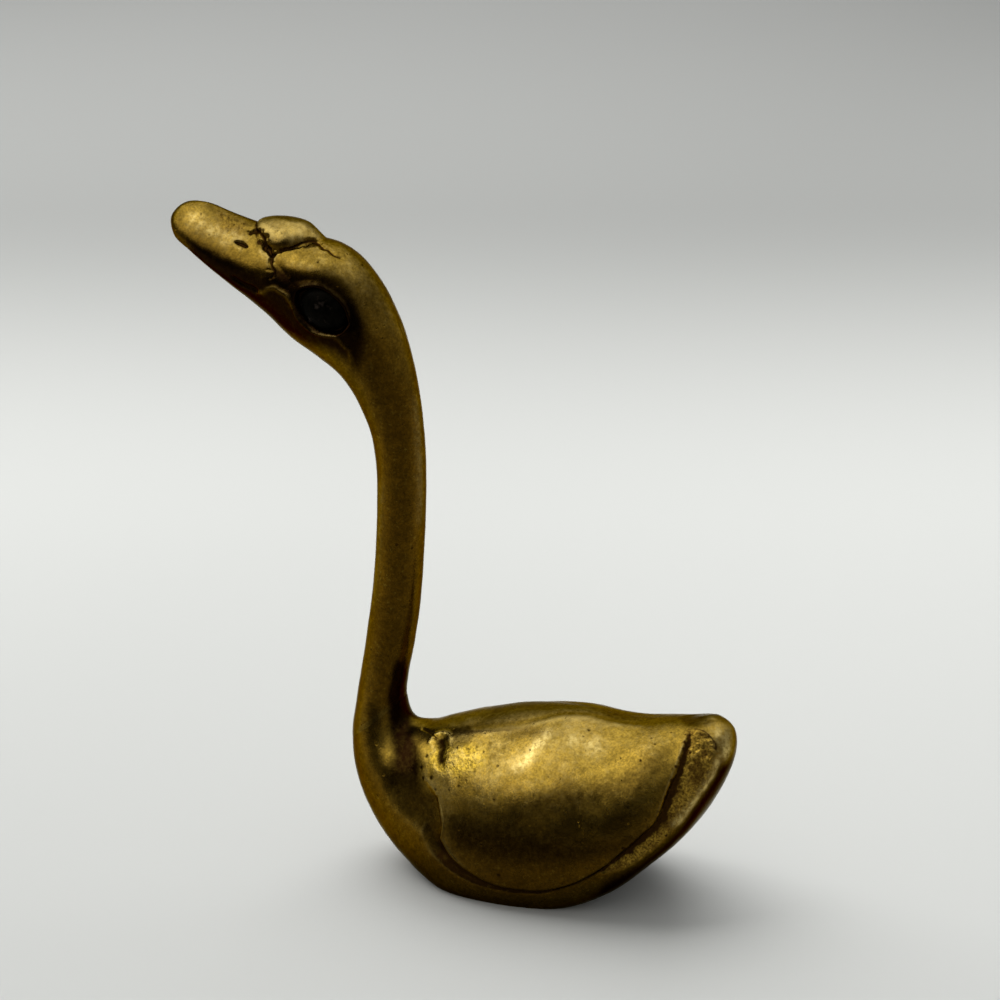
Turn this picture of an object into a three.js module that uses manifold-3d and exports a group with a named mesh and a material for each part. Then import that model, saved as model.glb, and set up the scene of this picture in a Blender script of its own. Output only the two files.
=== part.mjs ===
// Cast brass goose figurine: a hollow body casting, a solid neck and head casting brazed on top of it,
// and two dark eyes set in sockets. Millimetres, +Z up, bill towards -X, the bird's left side towards -Y.

import * as THREE from "three";
import { mergeVertices } from "three/addons/utils/BufferGeometryUtils.js";
import Module from "manifold-3d";

const wasm = await Module();
wasm.setup();

// Body sizes
const tailTipX = 44.6; // rearmost point
const tailTipZ = 30.4;
const backZ = 32.8; // top of the back above the table, without the wings
const bodyHalfWidth = 18;
const footCut = 2.6; // depth of the belly's curve that is ground away to leave the flat foot
const breastX = -28.6; // foremost point of the breast
const wall = 3; // body casting
const wingRelief = 0.8; // how far the wings stand out of the body
const tailRecess = 0.9; // depth of the rough panel between a wing and the tail's rim
const footHoleLength = 28;
const footHoleWidth = 18;

// Neck and head sizes
const saddleX = -14.3; // lowest point of the back, behind the neck
const saddleZ = 26.5;
const neckX = -18.9; // middle of the slender stretch
const neckHalfDepth = 4.5;
const neckHalfWidth = 4.2;
const neckMiddleZ = 69; // height of the slenderest section
const napeX = -15.5; // back of the neck where it starts to turn into the head
const napeZ = 89;
const headHalfWidth = 7.7;
const billHalfWidth = 4.8;
const knobHalfLength = 6.6;
const knobHalfWidth = 4.6;
const knobHalfHeight = 4.4;

// Joint between the castings
const seatGap = 0.3; // clearance on every seat
const brazeThickness = 0.9; // filler band between the castings
const spigotRadius = 3;
const spigotLength = 8.5;

// Eyes
const eyeHalfLength = 4.8;
const eyeHalfHeight = 4;
const eyeHalfThickness = 2.4;
const eyeStand = 0.2; // how far an eye bulges out of the head
const eyeSlope = -23; // degrees, the rear corner lies lower than the front one

// Facets
const aroundBody = 36;
const aroundNeck = 28;

// Stations from the tail's tip to the bill's tip: a point on the back line, a point on the belly line,
// the half width of the section between them, how far its widest line sags, and its fullness.
function station(backX, backHeight, bellyX, bellyHeight, halfWidth, sag = 0, fullness = 2) {
  return { back: [backX, backHeight], belly: [bellyX, bellyHeight], halfWidth, sag, fullness };
}

const tailStations = [
  station(tailTipX, tailTipZ, tailTipX, tailTipZ, 0),
  station(tailTipX - 1, tailTipZ + 3.1, tailTipX - 0.7, tailTipZ - 4.4, 3.5, 0.1, 2.1),
  station(tailTipX - 4.2, tailTipZ + 4.4, tailTipX - 3, tailTipZ - 10, 6.8, 0.16, 2.2),
  station(tailTipX - 9.4, tailTipZ + 2.7, tailTipX - 6.8, tailTipZ - 16.4, 10.7, 0.31, 2.2),
  station(tailTipX - 15, tailTipZ + 1.9, tailTipX - 12.8, tailTipZ - 22.4, 14.2, 0.4, 2.2),
];
const middleStations = [
  station(22.5, backZ - 0.5, 24.5, 2, bodyHalfWidth - 1.5, 0.45, 2.2),
  station(13.5, backZ, 14, 0.3 - footCut, bodyHalfWidth - 0.2, 0.47, 2.2),
  station(5, backZ - 1.1, 2.5, -footCut, bodyHalfWidth, 0.48, 2.2),
  station(-3, backZ - 3.3, -7, 0.3 - footCut, bodyHalfWidth - 1.4, 0.42, 2.1),
];
const breastStations = [
  station(saddleX + 4.5, saddleZ + 1.3, breastX + 13.4, 3 - footCut, 13.2, 0.26, 2.05),
  station(saddleX, saddleZ, breastX + 6.1, 6.2, 10.3, 0.12),
  station(saddleX - 3.4, saddleZ + 0.8, breastX + 1.6, 14.4, 8, 0.05),
  station(saddleX - 4.5, saddleZ + 4.5, breastX, 22.8, 6.2),
];
const neckStations = [
  station(saddleX - 3.9, saddleZ + 8.9, breastX + 0.8, 30.6, 5.1),
  station(saddleX - 2.4, saddleZ + 15.9, breastX + 2.4, 40.4, neckHalfWidth + 0.2),
  station(neckX + neckHalfDepth - 0.8, 54.4, neckX - neckHalfDepth - 0.9, 53.4, neckHalfWidth),
  station(neckX + neckHalfDepth, neckMiddleZ, neckX - neckHalfDepth, neckMiddleZ, neckHalfWidth),
  station(neckX + neckHalfDepth - 0.1, 80, neckX - neckHalfDepth - 0.5, 78.4, neckHalfWidth + 0.2),
];
const headStations = [
  station(napeX, napeZ, napeX - 10.2, napeZ - 4.4, 4.8),
  station(napeX - 1.6, napeZ + 7.1, napeX - 13.6, napeZ + 1.7, 5.8, 0.02),
  station(napeX - 4.1, napeZ + 14.1, napeX - 18.3, napeZ + 5.4, 6.9, -0.04),
  station(napeX - 8.4, napeZ + 20.6, napeX - 23.5, napeZ + 8.5, headHalfWidth, -0.08),
  station(napeX - 13.7, napeZ + 25.9, napeX - 27.9, napeZ + 12.1, headHalfWidth, -0.04),
  station(napeX - 20.9, napeZ + 27.6, napeX - 31.5, napeZ + 14.9, headHalfWidth - 0.8, 0.08),
  station(napeX - 28.5, napeZ + 28.6, napeX - 35.1, napeZ + 17.7, billHalfWidth + 1.4, 0.28, 1.9),
  station(napeX - 35.1, napeZ + 30.4, napeX - 38.7, napeZ + 20.6, billHalfWidth + 0.6, 0.46, 1.75),
  station(napeX - 40.5, napeZ + 32, napeX - 42.5, napeZ + 23.5, billHalfWidth, 0.52, 1.7),
  station(napeX - 44.9, napeZ + 31.6, napeX - 45.9, napeZ + 25.9, billHalfWidth - 1.4, 0.48, 1.8),
  station(napeX - 47.5, napeZ + 28.7, napeX - 47.5, napeZ + 28.7, 0),
];
const stations = [...tailStations, ...middleStations, ...breastStations, ...neckStations, ...headStations];
const jointStation = tailStations.length + middleStations.length + breastStations.length - 1;
const lastStation = stations.length - 1;

// One closed curve round the side view: out along the back line and home along the belly line.
// The half widths ride on a second closed curve that changes sign at the tips, so the tips come out round.
const between = stations.slice(1, -1);
const sideLine = [...stations.map((s) => s.back), ...between.map((s) => s.belly).reverse()];
const sideCurve = new THREE.CatmullRomCurve3(
  sideLine.map(([x, z]) => new THREE.Vector3(x, 0, z)), true, "catmullrom", 0.5,
);
const breadthLine = [
  ...stations.map((s) => new THREE.Vector3(s.halfWidth, s.sag, s.fullness)),
  ...between.map((s) => new THREE.Vector3(-s.halfWidth, s.sag, s.fullness)).reverse(),
];
const breadthCurve = new THREE.CatmullRomCurve3(breadthLine, true, "catmullrom", 0.5);

// The line across the mid-plane at a station, which may be a fraction.
function section(at) {
  const share = at / (2 * lastStation);
  const back = sideCurve.getPoint(share);
  const belly = sideCurve.getPoint(1 - share);
  const middle = back.clone().add(belly).multiplyScalar(0.5);
  const up = back.clone().sub(belly).normalize();
  const breadth = breadthCurve.getPoint(share);
  const halfDepth = back.distanceTo(belly) / 2;
  return { middle, up, halfDepth, halfWidth: breadth.x, sag: breadth.y, fullness: breadth.z };
}

// A ring of points round a section, grown or shrunk by an offset.
function ring(at, around, grow) {
  const { middle, up, halfDepth, halfWidth, sag, fullness } = section(at);
  const points = [];
  for (let i = 0; i < around; i++) {
    const angle = (2 * Math.PI * i) / around;
    const rise = Math.sign(Math.cos(angle)) * Math.abs(Math.cos(angle)) ** (2 / fullness);
    const reach = Math.sign(Math.sin(angle)) * Math.abs(Math.sin(angle)) ** (2 / fullness);
    const height = (halfDepth + grow) * (rise - sag * (1 - rise * rise));
    const point = middle.clone().addScaledVector(up, height);
    point.y = (halfWidth + grow) * reach;
    points.push(point);
  }
  return points;
}

// Skins a list of rings, closing each end with a fan to the ring's own centre.
function skin(rings) {
  const around = rings[0].length;
  const points = rings.flat();
  const faces = [];
  for (let r = 0; r + 1 < rings.length; r++) {
    for (let i = 0; i < around; i++) {
      const a = r * around + i;
      const b = r * around + ((i + 1) % around);
      faces.push(a, b, a + around, b, b + around, a + around);
    }
  }
  [rings[0], rings.at(-1)].forEach((loop, end) => {
    const first = end * (rings.length - 1) * around;
    const centre = new THREE.Vector3();
    loop.forEach((point) => centre.addScaledVector(point, 1 / around));
    for (let i = 0; i < around; i++) {
      const a = first + i;
      const b = first + ((i + 1) % around);
      faces.push(...(end ? [a, b, points.length] : [b, a, points.length]));
    }
    points.push(centre);
  });
  const geometry = new THREE.BufferGeometry().setFromPoints(points);
  geometry.setIndex(faces);
  return geometry;
}

// The bird between two stations as one closed solid, grown by a number or by a function of the station.
function stretch(from, to, steps, around, grow = () => 0) {
  const rings = [];
  for (let k = 0; k <= steps; k++) {
    const at = from + ((to - from) * k) / steps;
    rings.push(ring(at, around, grow(at)));
  }
  return solid(skin(rings));
}

function solid(geometry) {
  const bare = geometry.clone();
  bare.deleteAttribute("normal");
  bare.deleteAttribute("uv");
  const merged = mergeVertices(bare, 1e-4);
  return new wasm.Manifold(
    new wasm.Mesh({
      numProp: 3,
      vertProperties: merged.attributes.position.array,
      triVerts: new Uint32Array(merged.index.array),
    }),
  );
}

function geometryOf(manifold) {
  const mesh = manifold.getMesh();
  const geometry = new THREE.BufferGeometry();
  geometry.setAttribute("position", new THREE.BufferAttribute(mesh.vertProperties, 3));
  geometry.setIndex(new THREE.BufferAttribute(mesh.triVerts, 1));
  geometry.computeVertexNormals();
  return geometry;
}

// A side-view outline carried right across the bird.
function prism(points) {
  const shape = new THREE.Shape();
  shape.moveTo(...points[0]);
  shape.splineThru(points.slice(1).map(([x, z]) => new THREE.Vector2(x, z)));
  const reach = bodyHalfWidth + 10;
  const across = { depth: 2 * reach, bevelEnabled: false, curveSegments: 20 };
  const geometry = new THREE.ExtrudeGeometry(shape, across);
  return solid(geometry.rotateX(Math.PI / 2).translate(0, reach, 0));
}

function ellipsoid(halfX, halfY, halfZ, slope, centre, facets = 16) {
  const geometry = new THREE.SphereGeometry(1, facets, Math.round(facets * 0.7));
  geometry.rotateX(Math.PI / 2).scale(halfX, halfY, halfZ);
  return solid(geometry.rotateY(THREE.MathUtils.degToRad(-slope)).translate(...centre));
}

// Joint frame: the axis runs up out of the body into the neck.
const joint = section(jointStation);
const jointAxis = new THREE.Vector3(-joint.up.z, 0, joint.up.x);
function onJointAxis(geometry, from) {
  const turn = new THREE.Quaternion().setFromUnitVectors(new THREE.Vector3(0, 1, 0), jointAxis);
  const place = joint.middle.clone().addScaledVector(jointAxis, from);
  return solid(geometry.applyQuaternion(turn).translate(place.x, place.y, place.z));
}
function pin(radius, from, to) {
  return onJointAxis(new THREE.CylinderGeometry(radius, radius, to - from, 32), (from + to) / 2);
}
function slab(from, to) {
  const side = 4 * joint.halfDepth;
  return onJointAxis(new THREE.BoxGeometry(side, to - from, side), (from + to) / 2);
}
const bodyTop = -brazeThickness / 2 - seatGap;
const neckBottom = brazeThickness / 2 + seatGap;

// Body casting
const tipShare = 0.03; // leaves a tiny flat at each tip instead of a pole of slivers
const wingFrontStation = jointStation - 1.6;
const wingFade = 2.4; // stations over which the wing rises out of the shoulder
function wingGrow(at) {
  return wingRelief * THREE.MathUtils.smoothstep(wingFrontStation - at, 0, wingFade);
}
const wingOutline = [
  [-7.6, 17.4], [-7.4, 12.4], [-5.4, 9.1], [-2.3, 6.4], [2.6, 4.6], [8.3, 4.1], [14.8, 4.4], [21.2, 5.9],
  [26.5, 8.2], [31.4, 12.6], [34, 16.8], [35.8, 21.5], [37, 25.6], [37.6, 29.4], [37.4, 33], [36, 38],
  [16, 42], [-6, 38], [-12, 30], [-9.6, 22],
];
const recessOutline = [
  [38, 31.8], [40.2, 32], [41.7, 30.6], [41.6, 28.6], [39.6, 23.8], [36, 17], [31.4, 10.6], [28.6, 8.6],
  [31.8, 12.4], [34.4, 16.6], [36.2, 21.4], [37.4, 25.5], [38, 29.4],
];
const wings = stretch(1, wingFrontStation, 26, aroundBody, wingGrow).intersect(prism(wingOutline));
const recess = prism(recessOutline).subtract(stretch(0.5, 6, 17, aroundBody, () => -tailRecess));
const hollow = stretch(2.4, jointStation - 2.7, 14, 22, () => -wall);
const footHole = new THREE.Shape();
footHole.absellipse(0, 0, footHoleLength / 2, footHoleWidth / 2, 0, 2 * Math.PI);
const footWay = new THREE.ExtrudeGeometry(footHole, { depth: 12, bevelEnabled: false, curveSegments: 18 });
const table = new THREE.BoxGeometry(200, 100, 40).translate(0, 0, -20);
const body = stretch(tipShare, jointStation + 0.4, 36, aroundBody)
  .subtract(slab(bodyTop, 20))
  .add(wings)
  .subtract(recess)
  .subtract(hollow)
  .subtract(solid(footWay.translate(4.5, 0, -4)))
  .subtract(solid(table))
  .subtract(pin(spigotRadius + seatGap, bodyTop - spigotLength - seatGap, 5));

// Neck and head casting
const eyeX = napeX - 15.2;
const eyeZ = napeZ + 16.1;
const eyeY = headHalfWidth - eyeHalfThickness + eyeStand;
function eyeball(side, grow) {
  const centre = [eyeX, side * eyeY, eyeZ];
  return ellipsoid(eyeHalfLength + grow, eyeHalfThickness + grow, eyeHalfHeight + grow, eyeSlope, centre);
}
const knobSlope = -14;
const knobCentre = [napeX - 23.5, 0, napeZ + 26.2];
const knob = ellipsoid(knobHalfLength, knobHalfWidth, knobHalfHeight, knobSlope, knobCentre, 20);
const neck = stretch(jointStation - 0.4, lastStation - tipShare, 58, aroundNeck)
  .subtract(slab(-20, neckBottom))
  .add(knob)
  .subtract(eyeball(-1, seatGap))
  .subtract(eyeball(1, seatGap))
  .add(pin(spigotRadius, bodyTop - spigotLength, neckBottom + 1));

// Filler band
const braze = stretch(jointStation - 0.4, jointStation + 0.6, 6, aroundNeck)
  .intersect(slab(-brazeThickness / 2, brazeThickness / 2))
  .subtract(pin(spigotRadius + seatGap, -5, 5));

const brass = new THREE.MeshStandardMaterial({ color: 0x8a6a1f, roughness: 0.35, metalness: 1 });
const filler = new THREE.MeshStandardMaterial({ color: 0xa88428, roughness: 0.5, metalness: 1 });
const glass = new THREE.MeshStandardMaterial({ color: 0x10140e, roughness: 0.12, metalness: 0 });

const figure = new THREE.Group();
figure.name = "brass_goose_figurine";
function add(name, manifold, material) {
  const mesh = new THREE.Mesh(geometryOf(manifold), material);
  mesh.name = name;
  figure.add(mesh);
}
add("body_casting", body, brass);
add("neck_and_head_casting", neck, brass);
add("neck_braze_band", braze, filler);
add("eye_left", eyeball(-1, 0), glass);
add("eye_right", eyeball(1, 0), glass);

// The origin is the middle of the bounding box's underside.
const box = new THREE.Box3().setFromObject(figure);
const centre = box.getCenter(new THREE.Vector3());
figure.children.forEach((mesh) => mesh.geometry.translate(-centre.x, -centre.y, -box.min.z));

export default figure;
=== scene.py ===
import math
import bmesh
import bpy
import numpy as np
from mathutils import Matrix, Vector, noise
from mathutils.bvhtree import BVHTree
from mathutils.kdtree import KDTree


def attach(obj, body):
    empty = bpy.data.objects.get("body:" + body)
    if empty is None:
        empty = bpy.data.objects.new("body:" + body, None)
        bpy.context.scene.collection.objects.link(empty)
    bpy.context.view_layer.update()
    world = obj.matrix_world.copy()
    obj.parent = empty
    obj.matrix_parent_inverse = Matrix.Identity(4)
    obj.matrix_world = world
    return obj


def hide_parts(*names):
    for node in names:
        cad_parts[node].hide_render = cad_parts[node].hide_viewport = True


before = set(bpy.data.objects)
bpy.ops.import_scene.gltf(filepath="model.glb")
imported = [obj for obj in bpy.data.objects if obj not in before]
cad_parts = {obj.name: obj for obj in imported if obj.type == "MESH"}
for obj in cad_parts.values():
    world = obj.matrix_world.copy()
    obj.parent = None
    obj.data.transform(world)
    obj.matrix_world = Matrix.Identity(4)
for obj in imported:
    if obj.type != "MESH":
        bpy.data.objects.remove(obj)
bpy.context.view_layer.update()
mm = 0.001


def direction(azimuth, elevation):
    turn, lift = math.radians(azimuth), math.radians(elevation)
    return Vector((math.sin(turn) * math.cos(lift), -math.cos(turn) * math.cos(lift), math.sin(lift)))


# stands at a place and looks back along the direction that led there
def lookingBack(place, away):
    return Matrix.Translation(place) @ away.to_track_quat("Z", "Y").to_matrix().to_4x4()


def addToScene(thing):
    bpy.context.scene.collection.objects.link(thing)


# where the photograph was taken from: the bird's own millimetres, and a picture 1000 wide and 1000 high
photoView = {"azimuth": 20, "elevation": 18, "distance": 564, "angle": 18, "aim": (9.21, 0, 71), "picture": 1000}


def addCamera(view):
    data = bpy.data.cameras.new("photoCamera")
    data.angle = math.radians(view["angle"])
    data.clip_start = 0.01
    camera = bpy.data.objects.new("photoCamera", data)
    addToScene(camera)
    away = direction(view["azimuth"], view["elevation"])
    camera.matrix_world = lookingBack(Vector(view["aim"]) * mm + away * view["distance"] * mm, away)
    bpy.context.scene.camera = camera
    return camera


photoCamera = addCamera(photoView)
cameraPlace = np.array(photoCamera.matrix_world.translation) / mm
cameraTurn = np.array(photoCamera.matrix_world.to_3x3())  # columns: right, up, away
pixelReach = photoView["picture"] / 2 / math.tan(math.radians(photoView["angle"]) / 2)
print("camera placed")


# a pixel of the photograph as a ray, and points of the bird as pixels
def pixelRay(pixel):
    half = photoView["picture"] / 2
    return Vector(cameraTurn @ np.array([pixel[0] - half, half - pixel[1], -pixelReach])).normalized()


def toPixels(points):
    seen = (points - cameraPlace) @ cameraTurn
    half = photoView["picture"] / 2
    return np.stack([half - pixelReach * seen[:, 0] / seen[:, 2], half + pixelReach * seen[:, 1] / seen[:, 2]], 1)


# the bird's lines from the tail's tip to the bill's tip, in mm before the shift to the frame's origin:
# back x, back z, belly x, belly z, half width, sag of the widest line, fullness
gooseLines = {
    "shift": 9.21, "joint": 12,
    "stations": [
        (44.6, 30.4, 44.6, 30.4, 0, 0, 2),  # tail
        (43.6, 33.5, 43.9, 26, 3.5, 0.1, 2.1),
        (40.4, 34.8, 41.6, 20.4, 6.8, 0.16, 2.2),
        (35.2, 33.1, 37.8, 14, 10.7, 0.31, 2.2),
        (29.6, 32.3, 31.8, 8, 14.2, 0.4, 2.2),
        (22.5, 32.3, 24.5, 2, 16.5, 0.45, 2.2),  # back
        (13.5, 32.8, 14, -2.3, 17.8, 0.47, 2.2),
        (5, 31.7, 2.5, -2.6, 18, 0.48, 2.2),
        (-3, 29.5, -7, -2.3, 16.6, 0.42, 2.1),
        (-9.8, 27.8, -15.2, 0.4, 13.2, 0.26, 2.05),  # breast
        (-14.3, 26.5, -22.5, 6.2, 10.3, 0.12, 2),
        (-17.7, 27.3, -27, 14.4, 8, 0.05, 2),
        (-18.8, 31, -28.6, 22.8, 6.2, 0, 2),
        (-18.2, 35.4, -27.8, 30.6, 5.1, 0, 2),  # neck
        (-16.7, 42.4, -26.2, 40.4, 4.4, 0, 2),
        (-15.2, 54.4, -24.3, 53.4, 4.2, 0, 2),
        (-14.4, 69, -23.4, 69, 4.2, 0, 2),
        (-14.5, 80, -23.9, 78.4, 4.4, 0, 2),
        (-15.5, 89, -25.7, 84.6, 4.8, 0, 2),  # head
        (-17.1, 96.1, -29.1, 90.7, 5.8, 0.02, 2),
        (-19.6, 103.1, -33.8, 94.4, 6.9, -0.04, 2),
        (-23.9, 109.6, -39, 97.5, 7.7, -0.08, 2),
        (-29.2, 114.9, -43.4, 101.1, 7.7, -0.04, 2),
        (-36.4, 116.6, -47, 103.9, 6.9, 0.08, 2),
        (-44, 117.6, -50.6, 106.7, 6.2, 0.28, 1.9),  # bill
        (-50.6, 119.4, -54.2, 109.6, 5.4, 0.46, 1.75),
        (-56, 121, -58, 112.5, 4.8, 0.52, 1.7),
        (-60.4, 120.6, -61.4, 114.9, 3.4, 0.48, 1.8),
        (-63, 117.7, -63, 117.7, 0, 0, 2),
    ],
}

lines = np.array(gooseLines["stations"], float)
lines[:, [0, 2]] += gooseLines["shift"]
lastStation = len(lines) - 1
sideLine = np.concatenate([lines[:, 0:2], lines[-2:0:-1, 2:4]])  # out along the back, home along the belly
halfLine = np.concatenate([lines[:, 4:7], lines[-2:0:-1, 4:7] * (-1, 1, 1)])


# the smooth curve through four points, a share f of the way between the middle two
def throughFour(a, b, c, d, f):
    bend = (2 * a - 5 * b + 4 * c - d) * f ** 2 + (3 * b - a - 3 * c + d) * f ** 3
    return 0.5 * (2 * b + (c - a) * f + bend)


def alongLine(points, at):
    k = np.floor(at).astype(int)
    a, b, c, d = (points[(k + step) % len(points)] for step in (-1, 0, 1, 2))
    return throughFour(a, b, c, d, (at - k)[:, None])


def goosePoints(at, angle, grow=0.0):
    back, belly = alongLine(sideLine, at), alongLine(sideLine, 2 * lastStation - at)
    half = alongLine(halfLine, at)
    up = back - belly
    depth = np.linalg.norm(up, axis=1) / 2
    up = up / np.maximum(2 * depth, 1e-9)[:, None]
    power = 2 / half[:, 2]
    rise = np.sign(np.cos(angle)) * np.abs(np.cos(angle)) ** power
    reach = np.sign(np.sin(angle)) * np.abs(np.sin(angle)) ** power
    middle = (back + belly) / 2 + up * ((depth + grow) * (rise - half[:, 1] * (1 - rise ** 2)))[:, None]
    return np.stack([middle[:, 0], (half[:, 0] + grow) * reach, middle[:, 1]], 1)


def ease(low, high, value):
    t = np.clip((value - low) / (high - low), 0, 1)
    return t * t * (3 - 2 * t)


def bell(distance, width):
    return np.exp(-(distance / width) ** 2)


# a grid rolled up into the bird between two stations, its rings spread evenly along the longer side
def rollGoose(start, end, rings, around, grow=0.0, denseFrom=0.0):
    fine = np.linspace(start, end, 4000)
    backStep = np.linalg.norm(np.diff(alongLine(sideLine, fine), axis=0), axis=1)
    bellyStep = np.linalg.norm(np.diff(alongLine(sideLine, 2 * lastStation - fine), axis=0), axis=1)
    dense = 0.2 + 0.8 * ease(denseFrom - 1, denseFrom, fine[1:])
    travel = np.concatenate([[0], np.cumsum(np.maximum(backStep, bellyStep) * dense)])
    bm = bmesh.new()
    bmesh.ops.create_grid(bm, x_segments=around, y_segments=rings, size=0.5)
    flat = np.array([v.co[:2] for v in bm.verts]) + 0.5
    at = np.interp(flat[:, 1] * travel[-1], travel, fine)
    placed = goosePoints(at, math.pi + 2 * math.pi * flat[:, 0], grow)
    for v, place in zip(bm.verts, placed):
        v.co = place
    bmesh.ops.remove_doubles(bm, verts=bm.verts, dist=1e-4)
    bmesh.ops.recalc_face_normals(bm, faces=bm.faces)
    return bm


def vertexPlaces(bm):
    return np.array([v.co for v in bm.verts])


def vertexNormals(bm):
    bm.normal_update()
    return np.array([v.normal for v in bm.verts])


def moveVertices(bm, places):
    for v, place in zip(bm.verts, places):
        v.co = place


# a smooth line through pixels of the photograph, in steps of a given number of pixels
def drawLine(pixels, step, closed=False):
    pts = np.array(pixels + pixels[:1] if closed else pixels, float)
    path = []
    for k in range(len(pts) - 1):
        a, b, c, d = pts[max(k - 1, 0)], pts[k], pts[k + 1], pts[min(k + 2, len(pts) - 1)]
        for f in np.arange(0, 1, 1 / max(2, np.linalg.norm(c - b) / step)):
            path.append(throughFour(a, b, c, d, f))
    return path + [pts[-1]]


def castPixel(tree, pixel):
    return tree.ray_cast(Vector(cameraPlace), pixelRay(pixel))


# such a line laid on the near side of the bird, with the share of its length at each point
def layLine(tree, pixels, closed=False):
    path = drawLine(pixels, 0.3, closed)
    laid, share = [], []
    for k, pixel in enumerate(path):
        hit = castPixel(tree, pixel)[0]
        if hit is not None:
            laid.append(hit)
            share.append(k / (len(path) - 1))
    return laid, share


# both sides of the bird are alike, so each vertex is looked up on the near one
def nearSide(places):
    folded = places.copy()
    folded[:, 1] = -np.abs(folded[:, 1])
    return folded


# distance from each vertex to a laid line, and how far along the line the nearest point is
def nearLine(places, laidLine, reach=6.0):
    laid, share = laidLine
    tree = KDTree(len(laid))
    for k, point in enumerate(laid):
        tree.insert(point, k)
    tree.balance()
    folded = nearSide(places)
    low, high = np.min(laid, axis=0) - reach, np.max(laid, axis=0) + reach
    distance = np.full(len(places), 2.0 * reach)
    along = np.zeros(len(places))
    for k in np.nonzero(((folded > low) & (folded < high)).all(1))[0]:
        _, which, gap = tree.find(folded[k])
        distance[k] = gap
        along[k] = share[which]
    return distance, along


def lineGap(places, tree, pixels, reach=6.0):
    return nearLine(places, layLine(tree, pixels), reach)


# which vertices fall inside an outline drawn on the photograph
def insideOutline(places, pixels, straight=[]):
    seen = toPixels(nearSide(places))
    inside = np.zeros(len(places), bool)
    path = drawLine(pixels, 1.2, not straight) + straight
    for (x0, y0), (x1, y1) in zip(path, path[1:] + path[:1]):
        if y0 != y1:
            crosses = (y0 > seen[:, 1]) != (y1 > seen[:, 1])
            inside ^= crosses & (seen[:, 0] < (x1 - x0) * (seen[:, 1] - y0) / (y1 - y0) + x0)
    return inside


# distance to such an outline, positive inside it
def insideDepth(places, tree, pixels):
    distance, _ = nearLine(places, layLine(tree, pixels, closed=True))
    return np.where(insideOutline(places, pixels), distance, -distance)


# a finer mesh within a given distance of some laid lines
def refineNear(bm, laidLines, reach):
    near = np.min([nearLine(vertexPlaces(bm), laidLine)[0] for laidLine in laidLines], axis=0) < reach
    bm.verts.index_update()
    chosen = [e for e in bm.edges if near[e.verts[0].index] and near[e.verts[1].index]]
    bmesh.ops.subdivide_edges(bm, edges=chosen, cuts=1, use_grid_fill=True)


# single pits at pixels of the photograph: how far each vertex lies in one, and how deep
def dropPits(tree, places, pits):
    inPit, depth = np.zeros(len(places)), np.zeros(len(places))
    for x, y, size in pits:
        hit = castPixel(tree, (x, y))[0]
        if hit is not None:
            bowl = np.exp(-((places - np.array(hit)) ** 2).sum(1) / size ** 2)
            inPit = np.maximum(inPit, bowl)
            depth = np.maximum(depth, bowl * size)
    return inPit, depth


def lumps(places, size, seed):
    offset = Vector((seed, seed * 1.7, seed * 0.6))
    return np.array([noise.noise(Vector(p) / size + offset) for p in places])


# hollow-minus-proud of the carved surface at a given blur, as a number per vertex
def hollowness(bm, rounds):
    places, normals = vertexPlaces(bm), vertexNormals(bm)
    pairs = np.array([[v.index for v in e.verts] for e in bm.edges])
    count = np.bincount(pairs.ravel(), minlength=len(places)).astype(float)[:, None]
    soft = places.copy()
    for _ in range(rounds):
        total = np.zeros_like(soft)
        for axis in range(3):
            total[:, axis] = np.bincount(pairs[:, 0], soft[pairs[:, 1], axis], len(soft))
            total[:, axis] += np.bincount(pairs[:, 1], soft[pairs[:, 0], axis], len(soft))
        soft = total / count
    return ((soft - places) * normals).sum(1)


# dirt gathers in narrow and in broad hollows
def cavityMask(bm):
    return np.clip(0.5 + hollowness(bm, 10) * 1.2 + hollowness(bm, 50) * 0.5, 0, 1)


def addStainsAndShades(stain, places, tree, part):
    for outline, much, soft in part["stainsAndShades"]:
        stain = np.maximum(stain, much * ease(-soft, soft, insideDepth(places, tree, part[outline])))
    return stain


# values per vertex that the materials read by name
def paintMasks(bm, **masks):
    for maskName, values in masks.items():
        layer = bm.verts.layers.float.new(maskName)
        for v, value in zip(bm.verts, values):
            v[layer] = float(value)


# the joint's plane lies square to the neck, a little way along it from the joint's station
jointBack, jointBelly = lines[gooseLines["joint"], 0:2], lines[gooseLines["joint"], 2:4]
jointMiddle = Vector(((jointBack[0] + jointBelly[0]) / 2, 0, (jointBack[1] + jointBelly[1]) / 2))
jointAxis = Vector((jointBelly[1] - jointBack[1], 0, jointBack[0] - jointBelly[0])).normalized()


def everythingIn(bm):
    return bm.verts[:] + bm.edges[:] + bm.faces[:]


def trimAtJoint(bm, offset, keepAbove):
    cut = bmesh.ops.bisect_plane(
        bm, geom=everythingIn(bm), plane_co=jointMiddle + jointAxis * offset, plane_no=jointAxis,
        clear_inner=keepAbove, clear_outer=not keepAbove)
    rim = [e for e in cut["geom_cut"] if isinstance(e, bmesh.types.BMEdge)]
    bmesh.ops.holes_fill(bm, edges=rim, sides=0)
    for e in rim:
        e.smooth = False


def finishPiece(bm, name, material, node):
    bmesh.ops.scale(bm, vec=(mm, mm, mm), verts=bm.verts)
    mesh = bpy.data.meshes.new(name)
    bm.to_mesh(mesh)
    bm.free()
    mesh.shade_smooth()
    mesh.materials.append(material)
    piece = bpy.data.objects.new(name, mesh)
    addToScene(piece)
    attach(piece, "root")
    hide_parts(node)
    print(name, len(mesh.polygons), "faces")


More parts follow.
